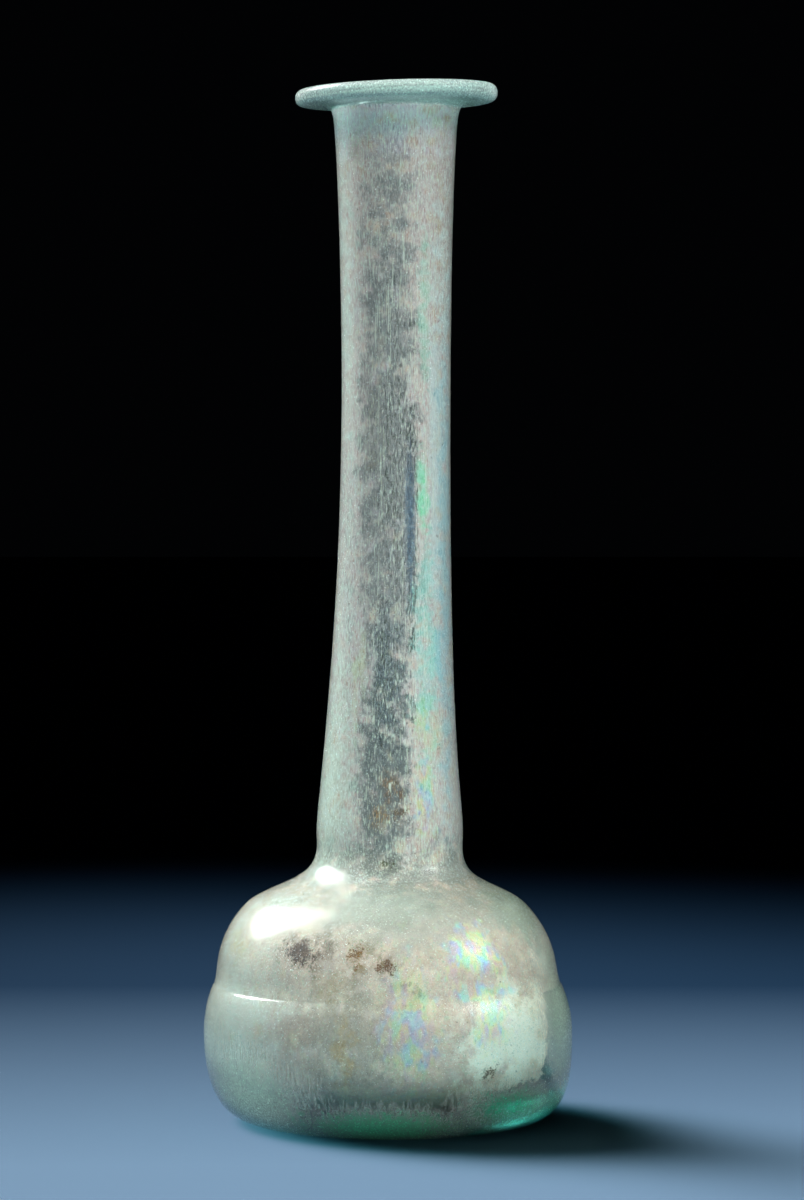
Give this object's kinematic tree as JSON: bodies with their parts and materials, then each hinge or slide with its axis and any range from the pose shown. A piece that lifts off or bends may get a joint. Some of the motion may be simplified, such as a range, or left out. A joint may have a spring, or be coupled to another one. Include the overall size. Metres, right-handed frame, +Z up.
{
  "type": "glass perfume bottle",
  "caption": "Free-blown pale green glass perfume bottle with a squat ridged bulb, long slender neck, flattened folded rim and a pearly weathered lining inside.",
  "frame": {"origin": "middle of the bottle's base, on the plane it rests on", "axes": "+Z up through the neck, -Y towards the front of the picture, +X to its right"},
  "size_m": [0.054, 0.054, 0.1504],
  "materials": {
    "glass": "polished",
    "weathering_crust": "satin",
    "burial_soil": "matte"
  },
  "bodies": {
    "root": {"glass_vessel": "glass", "bulb_crust": "weathering_crust", "neck_crust": "weathering_crust", "crust_flake_left": "weathering_crust", "crust_flake_front_left": "weathering_crust", "crust_flake_front": "weathering_crust", "crust_flake_front_right": "weathering_crust", "crust_flake_right": "weathering_crust", "soil_deposit_shoulder_left": "burial_soil", "soil_deposit_shoulder_front": "burial_soil", "soil_deposit_shoulder_middle": "burial_soil", "soil_deposit_bulb_right": "burial_soil", "soil_deposit_neck_foot": "burial_soil", "soil_deposit_neck_low": "burial_soil", "soil_deposit_neck_middle": "burial_soil"}
  },
  "joints": []
}
